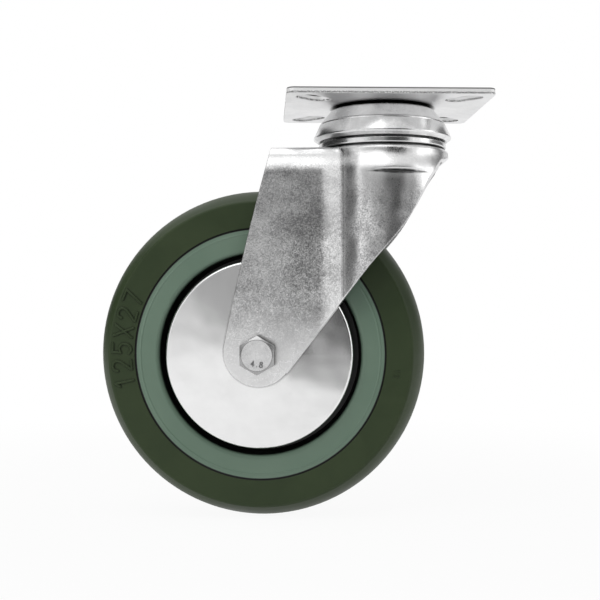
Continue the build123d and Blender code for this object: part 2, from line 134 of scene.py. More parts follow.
def noise(tree, point, size, kind):
    # noise whose lumps are about size millimetres across
    node = tree.nodes.new("ShaderNodeTexNoise")
    tree.links.new(point, node.inputs["Vector"])
    node.inputs["Scale"].default_value = 1 / (size * mm)
    node.inputs["Detail"].default_value = lumps[kind]["detail"]
    node.inputs["Roughness"].default_value = lumps[kind]["rough"]
    node.inputs["Distortion"].default_value = lumps[kind]["warp"]
    return node.outputs["Fac"]


def ramp(tree, factor, low, high, start=0.0, end=1.0, smooth=False):
    # start below low, end above high, and in between in proportion or as a smooth step
    node = tree.nodes.new("ShaderNodeMapRange")
    node.interpolation_type = "SMOOTHSTEP" if smooth else "LINEAR"
    plug(tree, factor, node.inputs["Value"])
    node.inputs["From Min"].default_value = low
    node.inputs["From Max"].default_value = high
    plug(tree, start, node.inputs["To Min"])
    plug(tree, end, node.inputs["To Max"])
    return node.outputs[0]


def grey(level):
    # one level in all three colours
    return (level, level, level, 1.0)


def mixColour(tree, factor, a, b, blend="MIX"):
    # colour a at factor 0, b at factor 1; sockets 6 and 7 and output 2 are the node's colours
    node = tree.nodes.new("ShaderNodeMix")
    node.data_type = "RGBA"
    node.blend_type = blend
    plug(tree, factor, node.inputs[0])
    for value, socket in ((a, node.inputs[6]), (b, node.inputs[7])):
        plug(tree, grey(value) if isinstance(value, float) else value, socket)
    return node.outputs[2]


def bump(tree, height, depth, shader, under=None):
    # height 0 to 1 stands for depth millimetres, on top of the bump under it
    node = tree.nodes.new("ShaderNodeBump")
    node.inputs["Strength"].default_value = 1.0
    node.inputs["Distance"].default_value = depth * mm
    plug(tree, height, node.inputs["Height"])
    if under is not None:
        tree.links.new(under, node.inputs["Normal"])
    tree.links.new(node.outputs[0], shader.inputs["Normal"])
    return node.outputs[0]


def cornerShade(tree, colour, look):
    # the colour times a share that falls where other faces stand close by: painted shade in corners
    # and between parts
    node = tree.nodes.new("ShaderNodeAmbientOcclusion")
    node.samples = cornerRays
    node.inputs["Distance"].default_value = look["reach"] * mm
    share = ramp(tree, node.outputs["AO"], look["full"], look["none"], look["share"], 1.0)
    return mixColour(tree, 1.0, colour, share, "MULTIPLY")


def roundedEdges(tree, radius):
    # the normal that the surface would have if its edges were rounded to radius millimetres
    node = tree.nodes.new("ShaderNodeBevel")
    node.samples = edgeRays
    node.inputs["Radius"].default_value = radius * mm
    return node.outputs[0]


def dress(node, mat):
    # the material on every slot of a CAD piece
    mesh = nodes[node].data
    if not mesh.materials:
        mesh.materials.append(mat)
    for i in range(len(mesh.materials)):
        mesh.materials[i] = mat


def zincMaterial(name, look):
    # cloudy and mottled zinc: cloud, blotch and grain noises added in shares, then set between
    # two greys, brighter where smoother, and with painted shade in corners
    mat, tree, shader = newTree(name)
    point = objectPoint(tree)
    parts = [noise(tree, point, look[kind + "Size"], kind) for kind in ("cloud", "blotch", "grain")]
    cloud, blotch, grain = (mathNode(tree, "MULTIPLY", part, share)
                            for part, share in zip(parts, look["shares"]))
    both = mathNode(tree, "ADD", mathNode(tree, "ADD", cloud, blotch), grain)
    level = ramp(tree, both, 0.5 - look["spread"], 0.5 + look["spread"])
    colour = mixColour(tree, level, look["dark"] + (1.0,), look["bright"] + (1.0,))
    colour = cornerShade(tree, colour, metalCornerShade)
    tree.links.new(colour, shader.inputs["Base Color"])
    rough = ramp(tree, level, 0, 1, look["roughHigh"], look["roughLow"])
    tree.links.new(rough, shader.inputs["Roughness"])
    shader.inputs["Metallic"].default_value = 1.0
    raised = bump(tree, both, look["bumpDepth"], shader, roundedEdges(tree, look["edgeRound"]))
    return dict(mat=mat, tree=tree, shader=shader, colour=colour, point=point, raised=raised,
                level=level)


# painted shade in the metals' corners: how far to look, and the occlusion levels for full and no
# shade
metalCornerShade = dict(reach=1.6, full=0.35, none=0.85, share=0.15)
plateZinc = dict(cloudSize=16, blotchSize=3.0, grainSize=0.6, shares=(0.45, 0.25, 0.3),
                 spread=0.16, dark=(0.66, 0.66, 0.665), bright=(0.86, 0.86, 0.86),
                 roughLow=0.26, roughHigh=0.36, bumpDepth=0.02, edgeRound=0.35)
headZinc = dict(cloudSize=10, blotchSize=2.0, grainSize=0.6, shares=(0.55, 0.25, 0.2),
                spread=0.18, dark=(0.62, 0.62, 0.625), bright=(0.90, 0.90, 0.90),
                roughLow=0.20, roughHigh=0.30, bumpDepth=0.012, edgeRound=0.3)
forkZinc = dict(cloudSize=12, blotchSize=1.2, grainSize=0.42, shares=(0.28, 0.30, 0.42),
                spread=0.085, dark=(0.30, 0.30, 0.305), bright=(0.87, 0.87, 0.87),
                roughLow=0.26, roughHigh=0.38, bumpDepth=0.035, edgeRound=0.8)
guardZinc = dict(cloudSize=22, blotchSize=5.0, grainSize=0.4, shares=(0.6, 0.2, 0.2),
                 spread=0.2, dark=(0.82, 0.82, 0.82), bright=(0.93, 0.93, 0.93),
                 roughLow=0.20, roughHigh=0.26, bumpDepth=0.006, edgeRound=0.3)
fastenerZinc = dict(cloudSize=5, blotchSize=1.6, grainSize=0.4, shares=(0.4, 0.3, 0.3),
                    spread=0.2, dark=(0.62, 0.62, 0.625), bright=(0.84, 0.84, 0.84),
                    roughLow=0.2, roughHigh=0.32, bumpDepth=0.012, edgeRound=0.3)
markZinc = dict(cloudSize=5, blotchSize=1.6, grainSize=0.4, shares=(0.4, 0.3, 0.3),
                spread=0.2, dark=(0.20, 0.20, 0.205), bright=(0.32, 0.32, 0.32),
                roughLow=0.3, roughHigh=0.4, bumpDepth=0.01, edgeRound=0.1)
bearingSteel = dict(cloudSize=6, blotchSize=2.0, grainSize=0.4, shares=(0.4, 0.3, 0.3),
                    spread=0.2, dark=(0.56, 0.56, 0.58), bright=(0.70, 0.70, 0.72),
                    roughLow=0.08, roughHigh=0.14, bumpDepth=0.003, edgeRound=0.1)
cageBrass = dict(cloudSize=4, blotchSize=1.5, grainSize=0.4, shares=(0.4, 0.3, 0.3),
                 spread=0.2, dark=(0.52, 0.36, 0.13), bright=(0.70, 0.52, 0.22),
                 roughLow=0.25, roughHigh=0.38, bumpDepth=0.006, edgeRound=0.1)

# Each finish: its look and the CAD pieces that wear it
metals = {
    "plateZinc": (plateZinc, ("top_plate",)),
    "headZinc": (headZinc, ("race_ring", "lower_cup")),
    "cupZinc": (headZinc, ("upper_cup",)),
    "forkZinc": (forkZinc, ("fork",)),
    "guardZinc": (guardZinc, ("guard_near", "guard_far")),
    "boltZinc": (fastenerZinc, ("axle_bolt", "axle_nut")),
    "fastenerZinc": (fastenerZinc, ("axle_washer", "axle_sleeve", "bearing_spacer", "kingpin",
                                    "side_spacer_near", "side_spacer_far")),
    "markZinc": (markZinc, ()),
    "bearingSteel": (bearingSteel, ("upper_balls", "lower_balls",
                                    "bearing_balls_near", "bearing_balls_far",
                                    "inner_ring_near", "inner_ring_far",
                                    "outer_ring_near", "outer_ring_far")),
    "cageBrass": (cageBrass, ("cage_near", "cage_far")),
}
finishes = {name: zincMaterial(name, look) for name, (look, pieces) in metals.items()}
for name, (look, pieces) in metals.items():
    for piece in pieces:
        dress(piece, finishes[name]["mat"])


def shearedEdgeAndTopShade(finish, look):
    # on the plate's sides: pale rough metal, dark specks along the break line near the
    # underside, and painted shade as a dark top edge
    tree, point, shader = finish["tree"], finish["point"], finish["shader"]
    height = along(tree, point, upZ)
    facing = vectorMath(tree, "DOT_PRODUCT", faceNormal(tree), tuple(upZ))
    facing = mathNode(tree, "ABSOLUTE", facing)
    upright = ramp(tree, facing, look["uprightLow"], look["uprightHigh"], 1.0, 0.0)
    below = ramp(tree, height, look["lineLow"], look["lineMiddle"])
    above = ramp(tree, height, look["lineMiddle"], look["lineHigh"], 1.0, 0.0)
    speck = noise(tree, point, look["speckSize"], "speck")
    speck = ramp(tree, speck, look["speckLow"], look["speckHigh"])
    line = mathNode(tree, "MULTIPLY", mathNode(tree, "MULTIPLY", below, above), speck)
    # painted shade: a dark line along the plate's top edge
    top = ramp(tree, height, look["rimLow"], look["rimHigh"], 0.0, look["rimShare"])
    lineOrTop = mathNode(tree, "MAXIMUM", line, top)
    mask = mathNode(tree, "MULTIPLY", lineOrTop, upright, clamp=True)
    pale = mixColour(tree, upright, finish["colour"], look["pale"])
    tree.links.new(mixColour(tree, mask, pale, look["dark"]), shader.inputs["Base Color"])
    rough = ramp(tree, upright, 0, 1, look["roughFlat"], look["roughEdge"])
    tree.links.new(rough, shader.inputs["Roughness"])
    metal = ramp(tree, upright, 0, 1, 1.0, look["metalEdge"])
    tree.links.new(metal, shader.inputs["Metallic"])


edgeLook = dict(uprightLow=0.55, uprightHigh=0.9, lineLow=-2.6, lineMiddle=-2.05, lineHigh=-1.55,
                speckSize=0.5, speckLow=0.40, speckHigh=0.52, rimLow=-0.75, rimHigh=-0.50,
                rimShare=0.95, pale=0.92, dark=0.045, roughFlat=0.31, roughEdge=0.6, metalEdge=0.5)
shearedEdgeAndTopShade(finishes["plateZinc"], edgeLook)


def creasedCup(finish, look):
    # ridge round the cup: its rise falls off with the height's distance from the crease. Above
    # and below it the surface also rises in proportion to the height
    tree = finish["tree"]
    height = along(tree, finish["point"], upZ)
    away = awayFrom(tree, height, look["height"])
    ridge = ramp(tree, away, 0.0, look["halfWidth"], look["rise"], 0.0, smooth=True)
    lower = ramp(tree, height, look["rim"], look["height"], 0.0, look["lowerRise"])
    upper = ramp(tree, height, look["height"], look["shoulder"], 0.0, look["upperRise"])
    total = mathNode(tree, "ADD", mathNode(tree, "ADD", lower, upper), ridge)
    bump(tree, total, 1.0, finish["shader"], finish["raised"])


creaseLook = dict(height=-8.9, halfWidth=0.55, rise=0.25, rim=-14.5, shoulder=-3.5, lowerRise=0.8,
                  upperRise=1.9)
creasedCup(finishes["cupZinc"], creaseLook)


def forkBends(tree, point, ahead, height, look):
    # the sheet's soft bends as a height in millimetres: a smooth step up towards the drawn head,
    # minus a smooth step at the top bend, plus slow waves that fade in on the head
    crease = ramp(tree, ahead, look["creaseFrom"], look["creaseTo"], 0.0, look["creaseRise"],
                  smooth=True)
    top = ramp(tree, height, look["topFrom"], look["topTo"], 0.0, look["topFall"], smooth=True)
    flank = ramp(tree, ahead, look["drawnFrom"], look["drawnTo"], 1.0, look["topOnHead"],
                 smooth=True)
    top = mathNode(tree, "MULTIPLY", top, flank)
    wave = noise(tree, point, look["waveSize"], "wave")
    wave = mathNode(tree, "MULTIPLY", wave, look["waveRise"])
    onHead = ramp(tree, ahead, look["creaseTo"], look["drawnTo"], smooth=True)
    wave = mathNode(tree, "MULTIPLY", wave, onHead)
    return mathNode(tree, "ADD", mathNode(tree, "SUBTRACT", crease, top), wave)


bendLook = dict(creaseFrom=-24.0, creaseTo=-14.5, creaseRise=2.4, topFrom=-30.0, topTo=-21.0,
                topFall=2.1, topOnHead=1.3, drawnFrom=-14.0, drawnTo=-8.0, waveSize=13.0,
                waveRise=1.6)


def paintedSheetHighlights(tree, ahead, height, colour, look):
    # painted highlights: paler by the most of the top band, the head's upper part and the strip at
    # the crease. The leg's end grows paler too
    top = ramp(tree, height, look["paleFrom"], look["paleTo"], smooth=True)
    head = ramp(tree, ahead, look["drawnFrom"], look["drawnTo"], smooth=True)
    headTop = ramp(tree, height, look["drawnLow"], look["drawnHigh"], smooth=True)
    head = mathNode(tree, "MULTIPLY", head, headTop)
    away = mathNode(tree, "SUBTRACT", ahead, look["stripX"])
    away = mathNode(tree, "ABSOLUTE", mathNode(tree, "DIVIDE", away, look["stripWide"]))
    strip = mathNode(tree, "SUBTRACT", 1.0, away, clamp=True)
    strip = mathNode(tree, "MULTIPLY", strip, look["stripShare"])
    pale = mathNode(tree, "MAXIMUM", mathNode(tree, "MAXIMUM", top, head), strip)
    share = mathNode(tree, "MULTIPLY", pale, look["paleShare"])
    colour = mixColour(tree, share, colour, look["pale"])
    end = ramp(tree, height, look["endFrom"], look["endTo"], 0.0, look["endShare"], smooth=True)
    return mixColour(tree, end, colour, look["endPale"])


# where the fork's painted highlights lie and how pale they are
sheetHighlightLook = dict(paleFrom=-29.5, paleTo=-25.0, drawnFrom=-14.0, drawnTo=-8.0, drawnLow=-42.0,
                drawnHigh=-28.0, paleShare=0.82, pale=0.84, stripX=-19.5, stripWide=4.0,
                stripShare=0.8, endFrom=-72.0, endTo=-104.0, endShare=0.9, endPale=0.93)


def darkCloud(tree, ahead, height, level, colour, look):
    # one minus the squares of the distances ahead and up over the cloud's half sizes, and there
    # the sheet's dark mottles grow darker
    aside = mathNode(tree, "SUBTRACT", ahead, look["x"])
    aside = mathNode(tree, "DIVIDE", aside, look["halfWide"])
    above = mathNode(tree, "SUBTRACT", height, look["z"])
    above = mathNode(tree, "DIVIDE", above, look["halfHigh"])
    cloud = mathNode(tree, "SUBTRACT", 1.0, mathNode(tree, "MULTIPLY", aside, aside))
    cloud = mathNode(tree, "SUBTRACT", cloud, mathNode(tree, "MULTIPLY", above, above), clamp=True)
    mottle = ramp(tree, level, 0.0, 1.0, look["share"], 0.0)
    return mixColour(tree, mathNode(tree, "MULTIPLY", cloud, mottle), colour, look["dark"])


cloudLook = dict(x=-27.0, z=-63.0, halfWide=13.0, halfHigh=26.0, share=0.8, dark=0.16)


def pinchShade(tree, point, ahead, height, colour, look):
    # painted shade, a dark lens under the head: one minus the square of the turn round the swivel
    # axis, minus the height's distance over the lens's half height, broken up by a noise
    beside = mathNode(tree, "ABSOLUTE", along(tree, point, forkY))
    turn = mathNode(tree, "ARCTAN2", ahead, beside)
    off = mathNode(tree, "SUBTRACT", turn, math.radians(look["turn"]))
    off = mathNode(tree, "DIVIDE", off, math.radians(look["halfTurn"]))
    lens = mathNode(tree, "SUBTRACT", 1.0, mathNode(tree, "MULTIPLY", off, off))
    away = mathNode(tree, "DIVIDE", awayFrom(tree, height, look["height"]), look["halfHigh"])
    pinch = mathNode(tree, "SUBTRACT", lens, away, clamp=True)
    patch = noise(tree, point, look["patchSize"], "grain")
    patch = ramp(tree, patch, look["patchLow"], look["patchHigh"], look["least"], 1.0)
    mark = ramp(tree, mathNode(tree, "MULTIPLY", pinch, patch), 0.0, look["soft"])
    return mixColour(tree, mark, colour, look["dark"])


# the painted shade under the head
pinchShadeLook = dict(turn=14, halfTurn=30, height=-29.8, halfHigh=1.1, patchSize=2.2, patchLow=0.35,
                 patchHigh=0.6, least=0.5, soft=0.4, dark=0.06)


def edgeShade(tree, colour, look):
    # the colour times a share that falls where the rounded normal leaves the face's own, which
    # is along the edges: painted shade outlining them
    same = vectorMath(tree, "DOT_PRODUCT", roundedEdges(tree, look["reach"]), faceNormal(tree))
    share = ramp(tree, same, look["full"], look["none"], look["share"], 1.0)
    return mixColour(tree, 1.0, colour, share, "MULTIPLY")


# painted shade along the fork's edges
edgeShadeLook = dict(reach=0.5, full=0.75, none=0.97, share=0.35)


def frontHighlight(tree, height, look):
    # 1 where the rounded normal leans ahead of the face's own by a middling amount, which is a
    # line just inside the sheet's front edges, above the leg's end; there it is a painted highlight
    lean = vectorMath(tree, "SUBTRACT", roundedEdges(tree, look["reach"]), faceNormal(tree))
    lean = vectorMath(tree, "DOT_PRODUCT", lean, tuple(forkX))
    rising = ramp(tree, lean, look["start"], look["full"])
    falling = ramp(tree, lean, look["last"], look["end"], 1.0, 0.0)
    line = mathNode(tree, "MULTIPLY", rising, falling)
    return mathNode(tree, "MULTIPLY", line, ramp(tree, height, look["low"], look["high"]))


# the painted highlight along the fork's front edges
frontHighlightLook = dict(reach=0.8, start=0.05, full=0.15, last=0.42, end=0.55, low=-92.0, high=-84.0,
                pale=0.93, metal=0.15)


def pressedFork(finish):
    # bends as a bump, then the colours from the widest to the finest: painted highlights, dark
    # mottles, painted shade under the head and along the edges, and a painted highlight at the
    # front edges
    tree, point, shader = finish["tree"], finish["point"], finish["shader"]
    ahead = along(tree, point, forkX)
    height = along(tree, point, upZ)
    bends = forkBends(tree, point, ahead, height, bendLook)
    bump(tree, bends, 1.0, shader, finish["raised"])
    colour = paintedSheetHighlights(tree, ahead, height, finish["colour"], sheetHighlightLook)
    colour = darkCloud(tree, ahead, height, finish["level"], colour, cloudLook)
    colour = pinchShade(tree, point, ahead, height, colour, pinchShadeLook)
    colour = edgeShade(tree, colour, edgeShadeLook)
    highlightLine = frontHighlight(tree, height, frontHighlightLook)
    # painted highlight: pale and hardly metallic along the front edges
    colour = mixColour(tree, highlightLine, colour, frontHighlightLook["pale"])
    tree.links.new(colour, shader.inputs["Base Color"])
    metal = ramp(tree, highlightLine, 0.0, 1.0, 1.0, frontHighlightLook["metal"])
    tree.links.new(metal, shader.inputs["Metallic"])


pressedFork(finishes["forkZinc"])


def wheelRadius(tree, point):
    # distance from the axle's line: root of the squares of the distances ahead and up
    place = vectorMath(tree, "SUBTRACT", point, tuple(axlePoint))
    ahead, up = along(tree, place, forkX), along(tree, place, upZ)
    ahead2, up2 = mathNode(tree, "MULTIPLY", ahead, ahead), mathNode(tree, "MULTIPLY", up, up)
    return mathNode(tree, "SQRT", mathNode(tree, "ADD", ahead2, up2))


def domedDisc(finish, look):
    # height falls off as the square of the distance outside the flat middle, plus slow waves
    tree, point = finish["tree"], finish["point"]
    out = mathNode(tree, "SUBTRACT", wheelRadius(tree, point), look["flat"])
    out = mathNode(tree, "DIVIDE", out, look["reach"], clamp=True)
    fall = mathNode(tree, "MULTIPLY", mathNode(tree, "MULTIPLY", out, out), -look["fall"])
    wave = noise(tree, point, look["waveSize"], "wave")
    wave = mathNode(tree, "MULTIPLY", wave, look["waveRise"])
    height = mathNode(tree, "ADD", fall, wave)
    bump(tree, height, 1.0, finish["shader"], finish["raised"])


discLook = dict(flat=12.0, reach=24.0, fall=1.4, waveSize=17.0, waveRise=0.7)
domedDisc(finishes["guardZinc"], discLook)


def boltShade(finish, look):
    # painted shade: dark flats where the face looks across the axle, and a dark circle where the
    # chamfer meets the end face
    tree = finish["tree"]
    radius = wheelRadius(tree, finish["point"])
    facing = vectorMath(tree, "DOT_PRODUCT", faceNormal(tree), tuple(forkY))
    facing = mathNode(tree, "ABSOLUTE", facing)
    flats = ramp(tree, facing, look["flatLow"], look["flatHigh"], 1.0, 0.0)
    flats = mathNode(tree, "MULTIPLY", flats, ramp(tree, radius, look["shank"], look["head"]))
    flats = mathNode(tree, "MULTIPLY", flats, look["flatShare"])
    away = awayFrom(tree, radius, look["circle"])
    circle = ramp(tree, away, 0.0, look["circleWide"], look["circleShare"], 0.0)
    mask = mathNode(tree, "MAXIMUM", flats, circle, clamp=True)
    colour = mixColour(tree, mask, finish["colour"], look["dark"])
    tree.links.new(colour, finish["shader"].inputs["Base Color"])


# painted shade on the bolt's flats and chamfer circle
boltShadeLook = dict(flatLow=0.8, flatHigh=0.97, shank=4.6, head=5.4, circle=5.95, circleWide=0.22,
                circleShare=0.85, flatShare=0.85, dark=0.06)
boltShade(finishes["boltZinc"], boltShadeLook)
print("metal finishes done")


def mouldedMaterial(name, look):
    # moulded surface: faint colour clouds, fine bump and uneven gloss, with painted shade in
    # corners
    mat, tree, shader = newTree(name)
    point = objectPoint(tree)
    cloud = noise(tree, point, look["cloudSize"], "tint")
    grain = noise(tree, point, look["grainSize"], "mould")
    share = ramp(tree, cloud, *cloudRange)
    colour = mixColour(tree, share, look["dark"] + (1.0,), look["bright"] + (1.0,))
    colour = cornerShade(tree, colour, mouldCornerShade)
    tree.links.new(colour, shader.inputs["Base Color"])
    rough = ramp(tree, cloud, *cloudRange, look["roughLow"], look["roughHigh"])
    tree.links.new(rough, shader.inputs["Roughness"])
    shader.inputs["Specular IOR Level"].default_value = look["specular"]
    raised = bump(tree, grain, look["bumpDepth"], shader)
    return dict(mat=mat, tree=tree, shader=shader, colour=colour, point=point, raised=raised)


# painted shade in the moulded pieces' corners
mouldCornerShade = dict(reach=0.9, full=0.45, none=0.9, share=0.25)
cloudRange = (0.3, 0.7)  # where the cloud noise starts and ends to count


def jointRing(finish, look):
    # fine dark line at one radius of the axle, where tyre and centre meet
    tree = finish["tree"]
    away = awayFrom(tree, wheelRadius(tree, finish["point"]), look["radius"])
    line = ramp(tree, away, look["wide"] / 2, look["wide"], 1.0, 0.0)
    finish["colour"] = mixColour(tree, line, finish["colour"], look["dark"])
    tree.links.new(finish["colour"], finish["shader"].inputs["Base Color"])


def pocketShade(finish, look):
    # painted shade inside one radius of the axle, behind the guard's rim, and a low ridge at
    # another
    tree = finish["tree"]
    radius = wheelRadius(tree, finish["point"])
    inside = ramp(tree, radius, look["inner"], look["outer"], look["share"], 0.0)
    finish["colour"] = mixColour(tree, inside, finish["colour"], look["dark"])
    tree.links.new(finish["colour"], finish["shader"].inputs["Base Color"])
    away = awayFrom(tree, radius, look["ridge"])
    ridge = ramp(tree, away, 0.0, look["ridgeWide"], look["ridgeRise"], 0.0, smooth=True)
    bump(tree, ridge, 1.0, finish["shader"], finish["raised"])


def partingLine(finish, look):
    # fine ridge round the tread's middle: it falls off with the distance along the axle
    tree = finish["tree"]
    across = vectorMath(tree, "DOT_PRODUCT", finish["point"], tuple(forkY))
    away = mathNode(tree, "ABSOLUTE", across)
    ridge = ramp(tree, away, 0.0, look["halfWidth"] * mm, 1.0, 0.0, smooth=True)
    bump(tree, ridge, look["height"], finish["shader"], finish["raised"])


tyreLook = dict(cloudSize=22, grainSize=0.5, dark=(0.026, 0.042, 0.016),
                bright=(0.037, 0.055, 0.023), roughLow=0.42, roughHigh=0.55, specular=0.25,
                bumpDepth=0.02)
centreLook = dict(cloudSize=30, grainSize=0.6, dark=(0.128, 0.198, 0.145),
                  bright=(0.150, 0.222, 0.165), roughLow=0.28, roughHigh=0.36, specular=0.4,
                  bumpDepth=0.01)
jointLook = dict(radius=48.5, wide=0.5, dark=0.004)
# painted shade in the centre's pocket; the ridge is a bump
pocketShadeLook = dict(inner=39.0, outer=39.5, share=0.97, dark=0.004, ridge=46.6, ridgeWide=0.6,
                  ridgeRise=0.12)
treadLine = dict(halfWidth=0.35, height=0.15)
tyreRubber = mouldedMaterial("tyreRubber", tyreLook)
jointRing(tyreRubber, jointLook)
partingLine(tyreRubber, treadLine)
centrePlastic = mouldedMaterial("centrePlastic", centreLook)
jointRing(centrePlastic, jointLook)
pocketShade(centrePlastic, pocketShadeLook)
dress("tyre", tyreRubber["mat"])
dress("wheel_centre", centrePlastic["mat"])
print("rubber and plastic done")


def gridFaces(rows, columns):
    # quads between neighbouring rows and columns of a grid whose last column joins the first
    i, j = np.meshgrid(np.arange(rows - 1), np.arange(columns), indexing="ij")
    k = (j + 1) % columns
    low, high = i * columns, (i + 1) * columns
    return np.stack((low + j, low + k, high + k, high + j), axis=-1).reshape(-1, 4)


def putMesh(name, points, faces, mat, body):
    # a smooth mesh piece from arrays of points and faces, riding on a body
    mesh = bpy.data.meshes.new(name)
    mesh.from_pydata(points.tolist(), [], faces.tolist())
    mesh.polygons.foreach_set("use_smooth", np.full(len(faces), True))
    mesh.materials.append(mat)
    mesh.update()
    obj = bpy.data.objects.new(name, mesh)
    bpy.context.scene.collection.objects.link(obj)
    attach(obj, body)
    return obj


def smoothLine(corners, steps):
    # Catmull-Rom curve through the corners: each point is a cubic blend of four corners
    pts = np.array(corners, dtype=float)
    if len(pts) == 2:
        return pts
    wide = np.vstack((2 * pts[0] - pts[1], pts, 2 * pts[-1] - pts[-2]))
    t = np.linspace(0, 1, steps, endpoint=False)[:, None, None]
    a, b, c, d = wide[:-3], wide[1:-2], wide[2:-1], wide[3:]
    curve = 0.5 * (2 * b + (c - a) * t + (2 * a - 5 * b + 4 * c - d) * t**2
                   + (3 * b - a - 3 * c + d) * t**3)
    return np.vstack((curve.transpose(1, 0, 2).reshape(-1, 2), pts[-1]))


def strokeBead(line, width, depth, sink, around):
    # half-round bead along a flat line: its profile is (half width * cos, depth * sin), smaller
    # rows of the same profile round off each end, and the bead's foot sinks into the face
    forward = np.gradient(line, axis=0)
    forward /= np.linalg.norm(forward, axis=1)[:, None]
    head = line[0] - forward[0] * (width / 2 * np.sin(capTurns))[:, None]
    tail = line[-1] + forward[-1] * (width / 2 * np.sin(capTurns[::-1]))[:, None]
    path = np.vstack((head, line, tail))
    way = np.vstack((np.repeat(forward[:1], len(capTurns), axis=0), forward,
                     np.repeat(forward[-1:], len(capTurns), axis=0)))
    scale = np.concatenate((np.cos(capTurns), np.ones(len(line)), np.cos(capTurns[::-1])))
    side = np.stack((way[:, 1], -way[:, 0]), axis=-1)
    turn = np.linspace(0, np.pi, around)
    offset = np.concatenate(([width / 2], width / 2 * np.cos(turn), [-width / 2]))
    rise = np.concatenate(([-sink], depth * np.sin(turn), [-sink]))
    flat = path[:, None, :] + side[:, None, :] * (scale[:, None] * offset)[:, :, None]
    height = np.where(rise < 0, rise, rise * scale[:, None])
    return np.dstack((flat, height)).reshape(-1, 3), gridFaces(len(path), len(offset))


capTurns = np.radians((90, 60, 30))  # where the rows of a bead's rounded end stand

# Strokes of the figures, on a field one wide and one high
figures = {
    "1": ([(0.28, 0.78), (0.56, 1.0)], [(0.56, 1.0), (0.56, 0.0)]),
    "2": ([(0.12, 0.76), (0.22, 0.94), (0.50, 1.01), (0.80, 0.92), (0.86, 0.70), (0.68, 0.46),
           (0.12, 0.0)], [(0.12, 0.0), (0.90, 0.0)]),
    "4": ([(0.66, 0.0), (0.66, 1.0)], [(0.66, 1.0), (0.08, 0.30)], [(0.08, 0.30), (0.92, 0.30)]),
    "5": ([(0.84, 1.0), (0.22, 1.0)], [(0.22, 1.0), (0.16, 0.55)],
          [(0.16, 0.55), (0.46, 0.64), (0.80, 0.54), (0.88, 0.32), (0.74, 0.08), (0.44, -0.01),
           (0.12, 0.10)]),
    "7": ([(0.10, 1.0), (0.90, 1.0)], [(0.90, 1.0), (0.40, 0.0)]),
    "8": ([(0.50, 0.54), (0.22, 0.66), (0.20, 0.88), (0.50, 1.0), (0.80, 0.88), (0.78, 0.66),
           (0.50, 0.54), (0.16, 0.40), (0.12, 0.14), (0.50, 0.0), (0.88, 0.14), (0.84, 0.40),
           (0.50, 0.54)],),
    "X": ([(0.08, 0.0), (0.92, 1.0)], [(0.08, 1.0), (0.92, 0.0)]),
    ".": ([(0.48, 0.03), (0.52, 0.03)],),
}


def raisedFigures(name, look, place, mat, body):
    # every stroke is a bead; place turns (along, up, out) in millimetres into a point
    words, pitch, wide, high = look["words"], look["pitch"], look["wide"], look["high"]
    points, faces, count = [], [], 0
    for i, letter in enumerate(words):
        start = (i - (len(words) - 1) / 2) * pitch - wide / 2
        for stroke in figures[letter]:
            line = smoothLine(stroke, look["steps"]) * (wide, high) + (start, -high / 2)
            bead, quads = strokeBead(line, look["stroke"], look["depth"], look["sink"],
                                     look["around"])
            points.append(bead)
            faces.append(quads + count)
            count += len(bead)
    return putMesh(name, place(np.vstack(points)), np.vstack(faces), mat, body)


def onSidewall(look):
    # along becomes an angle of along over radius, up adds to the radius, and out adds to the
    # distance from the wheel's middle
    def place(flat):
        theta = math.radians(look["angle"]) - flat[:, 0] / look["radius"]
        reach = (look["radius"] + flat[:, 1]) * mm
        out = nearSide * (look["face"] + flat[:, 2]) * mm
        spoke = np.cos(theta)[:, None] * forkX + np.sin(theta)[:, None] * upZ
        return axlePoint + reach[:, None] * spoke + out[:, None] * forkY
    return place


def onFlat(look):
    # along and up are turned about the axle and moved to the centre, and out adds to the
    # distance from the wheel's middle
    c, s = math.cos(math.radians(look["turn"])), math.sin(math.radians(look["turn"]))

    def place(flat):
        ahead = (flat[:, 0] * c - flat[:, 1] * s + look["centre"][0]) * mm
        up = (flat[:, 0] * s + flat[:, 1] * c + look["centre"][1]) * mm
        out = nearSide * (look["face"] + flat[:, 2]) * mm
        return axlePoint + ahead[:, None] * forkX + up[:, None] * upZ + out[:, None] * forkY
    return place


sizeMark = dict(words="125X27", high=7.2, wide=4.9, pitch=6.7, stroke=1.05, depth=0.65, sink=0.2,
                steps=6, around=7, radius=53.9, angle=174.3, face=13.5)
mouldMark = dict(words="12", high=2.0, wide=1.3, pitch=1.9, stroke=0.4, depth=0.2, sink=0.1,
                 steps=4, around=5, radius=53.4, angle=-8, face=13.5)
gradeMark = dict(words="4.8", high=2.1, wide=1.4, pitch=1.6, stroke=0.36, depth=0.28, sink=0.1,
                 steps=4, around=5, centre=(0.1, -3.2), turn=-8, face=25.8)
raisedFigures("size_mark", sizeMark, onSidewall(sizeMark), tyreRubber["mat"], "wheel")
raisedFigures("mould_mark", mouldMark, onSidewall(mouldMark), tyreRubber["mat"], "wheel")
raisedFigures("grade_mark", gradeMark, onFlat(gradeMark), finishes["markZinc"]["mat"], "fork")
print("raised figures done")


